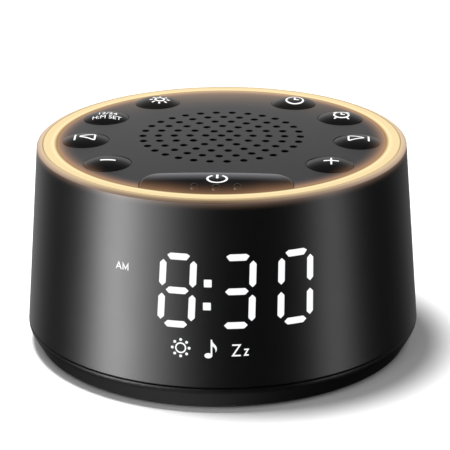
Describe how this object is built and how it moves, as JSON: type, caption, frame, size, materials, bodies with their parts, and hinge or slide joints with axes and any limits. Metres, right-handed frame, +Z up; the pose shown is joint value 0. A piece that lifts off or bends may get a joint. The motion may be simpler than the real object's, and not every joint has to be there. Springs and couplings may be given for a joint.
{
  "type": "white noise sound machine",
  "caption": "Round bedside white noise machine with a smoked clock front, a glowing light ring, a domed deck of push buttons and a speaker grille facing up.",
  "frame": {"origin": "centre of the circle that the four foot pads stand on, at table height", "axes": "+Z up through the middle of the grille, -Y towards the clock side, +X to the right of the clock as it is read"},
  "size_m": [0.1077, 0.1076, 0.0582],
  "materials": {
    "button_grey": "soft touch",
    "plunger_plastic": "moulded",
    "chip_black": "moulded package",
    "base_black": "fine spark texture",
    "screw_steel": "zinc plated",
    "capacitor_can": "drawn can",
    "connector_ivory": "moulded",
    "cell_steel": "coin cell",
    "switch_black": "moulded",
    "display_film": "diffuser film",
    "flex_amber": "polyimide flex",
    "lamp_white": "LED package",
    "module_black": "moulded",
    "cone_paper": "black pulp",
    "foot_rubber": "matt",
    "speaker_cloth": "fine weave",
    "board_green": "solder mask",
    "ribbon_white": "flat cable",
    "ring_diffuser": "milky, lit from below",
    "white_plastic": "white reflector",
    "smoked_shell": "smoked black, satin",
    "basket_steel": "pressed and plated",
    "foam_black": "closed cell foam",
    "lead_red": "insulated wire",
    "magnet_ferrite": "ground ferrite",
    "deck_grey": "soft touch",
    "socket_steel": "drawn can",
    "coil_copper": "enamelled copper"
  },
  "bodies": {
    "housing": {"amplifier_chip": "chip_black", "base": "base_black", "base_screws": "screw_steel", "battery_door": "base_black", "battery_door_screw": "screw_steel", "board_capacitors": "capacitor_can", "board_connectors": "connector_ivory", "coin_cell": "cell_steel", "coin_cell_holder": "switch_black", "controller_chip": "chip_black", "deck_screws": "screw_steel", "display_film": "display_film", "display_flex": "flex_amber", "display_leds": "lamp_white", "display_reflector": "module_black", "display_ribbon": "flex_amber", "foot_pads": "foot_rubber", "grille_cloth": "speaker_cloth", "key_board": "board_green", "key_ribbon": "ribbon_white", "key_switches": "switch_black", "light_ring": "ring_diffuser", "light_trough": "white_plastic", "main_board": "board_green", "main_board_screws": "screw_steel", "ring_leds": "lamp_white", "shell": "smoked_shell", "speaker_basket": "basket_steel", "speaker_gasket": "foam_black", "speaker_leads": "lead_red", "speaker_magnet": "magnet_ferrite", "speaker_screws": "screw_steel", "speaker_spider": "speaker_cloth", "speaker_surround": "foot_rubber", "speaker_washer": "basket_steel", "speaker_yoke": "basket_steel", "top_plate": "deck_grey", "usb_socket": "socket_steel"},
    "light_button": {"light_button": "button_grey", "light_plunger": "plunger_plastic"},
    "set_button": {"set_button": "button_grey", "set_plunger": "plunger_plastic"},
    "previous_button": {"previous_button": "button_grey", "previous_plunger": "plunger_plastic"},
    "minus_button": {"minus_button": "button_grey", "minus_plunger": "plunger_plastic"},
    "timer_button": {"timer_button": "button_grey", "timer_plunger": "plunger_plastic"},
    "alarm_button": {"alarm_button": "button_grey", "alarm_plunger": "plunger_plastic"},
    "next_button": {"next_button": "button_grey", "next_plunger": "plunger_plastic"},
    "plus_button": {"plus_button": "button_grey", "plus_plunger": "plunger_plastic"},
    "power_bar": {"power_bar": "button_grey", "bar_plungers": "plunger_plastic"},
    "speaker_cone": {"speaker_cone": "cone_paper", "dust_cap": "cone_paper", "voice_coil": "coil_copper"}
  },
  "joints": [
    {"name": "light_press", "type": "slide", "parent": "housing", "child": "light_button", "axis": [0, 0, -1], "range_m": [0, 0.0006], "stiffness_N_per_m": 800, "springref_m": -0.0004},
    {"name": "set_press", "type": "slide", "parent": "housing", "child": "set_button", "axis": [0, 0, -1], "range_m": [0, 0.0006], "stiffness_N_per_m": 800, "springref_m": -0.0004},
    {"name": "previous_press", "type": "slide", "parent": "housing", "child": "previous_button", "axis": [0, 0, -1], "range_m": [0, 0.0006], "stiffness_N_per_m": 800, "springref_m": -0.0004},
    {"name": "minus_press", "type": "slide", "parent": "housing", "child": "minus_button", "axis": [0, 0, -1], "range_m": [0, 0.0006], "stiffness_N_per_m": 800, "springref_m": -0.0004},
    {"name": "timer_press", "type": "slide", "parent": "housing", "child": "timer_button", "axis": [0, 0, -1], "range_m": [0, 0.0006], "stiffness_N_per_m": 800, "springref_m": -0.0004},
    {"name": "alarm_press", "type": "slide", "parent": "housing", "child": "alarm_button", "axis": [0, 0, -1], "range_m": [0, 0.0006], "stiffness_N_per_m": 800, "springref_m": -0.0004},
    {"name": "next_press", "type": "slide", "parent": "housing", "child": "next_button", "axis": [0, 0, -1], "range_m": [0, 0.0006], "stiffness_N_per_m": 800, "springref_m": -0.0004},
    {"name": "plus_press", "type": "slide", "parent": "housing", "child": "plus_button", "axis": [0, 0, -1], "range_m": [0, 0.0006], "stiffness_N_per_m": 800, "springref_m": -0.0004},
    {"name": "power_bar_press", "type": "slide", "parent": "housing", "child": "power_bar", "axis": [0, 0, -1], "range_m": [0, 0.0006], "stiffness_N_per_m": 1600, "springref_m": -0.0004},
    {"name": "speaker_cone_stroke", "type": "slide", "parent": "housing", "child": "speaker_cone", "axis": [0, 0, 1], "range_m": [-0.001, 0.001], "stiffness_N_per_m": 1200, "deforming": ["speaker_surround", "speaker_spider"]}
  ]
}
